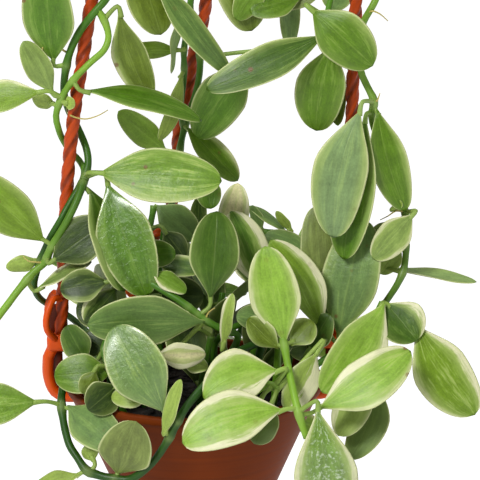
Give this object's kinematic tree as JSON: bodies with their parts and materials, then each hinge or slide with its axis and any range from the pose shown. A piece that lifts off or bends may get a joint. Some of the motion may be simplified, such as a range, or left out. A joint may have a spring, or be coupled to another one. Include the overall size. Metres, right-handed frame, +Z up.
{
  "type": "hanging potted vine",
  "caption": "Variegated trailing vine in a tapered plastic hanging pot, its leafy stems twining up the twisted cords of the hanger, which meet in an open hook.",
  "frame": {"origin": "inside top of the hook, where it bears on the rail it hangs from", "axes": "+Z up; the front of the plant faces -Y and its right-hand cord is towards +X"},
  "size_m": [0.2464, 0.1984, 0.4863],
  "materials": {
    "pot_plastic": "dark terracotta moulded plastic, semi-matt",
    "hanger_plastic": "rust orange moulded plastic cord, satin",
    "soil_mix": "dark bark and peat mix",
    "leaf_green": "thick waxy green leaf with a pale margin",
    "leaf_cream": "thick waxy leaf, cream and light green",
    "leaf_grey": "thick waxy grey-green leaf with a cream margin"
  },
  "bodies": {
    "root": {"pot": "pot_plastic", "soil": "soil_mix", "hanger_hook": "hanger_plastic", "hanger_leg_left": "hanger_plastic", "hanger_leg_back": "hanger_plastic", "hanger_leg_right": "hanger_plastic", "vine_left_climber": "leaf_green", "vine_back_climber": "leaf_green", "vine_right_climber": "leaf_grey", "vine_front_trailing": "leaf_grey", "vine_front_bright": "leaf_cream", "vine_front_pale": "leaf_cream", "vine_middle_left": "leaf_grey", "vine_left_low": "leaf_green", "vine_middle_dark": "leaf_green", "vine_middle_cream": "leaf_cream", "vine_right_middle": "leaf_grey", "vine_right_low": "leaf_cream", "vine_back_thin": "leaf_grey", "vine_back_left": "leaf_grey", "vine_back_middle": "leaf_green", "vine_back_right": "leaf_cream", "vine_bushy_a": "leaf_grey", "vine_bushy_b": "leaf_green", "vine_bushy_c": "leaf_green", "vine_bushy_d": "leaf_green", "vine_bushy_e": "leaf_green", "vine_bushy_f": "leaf_green", "vine_side_a": "leaf_grey", "vine_side_b": "leaf_cream"}
  },
  "joints": []
}
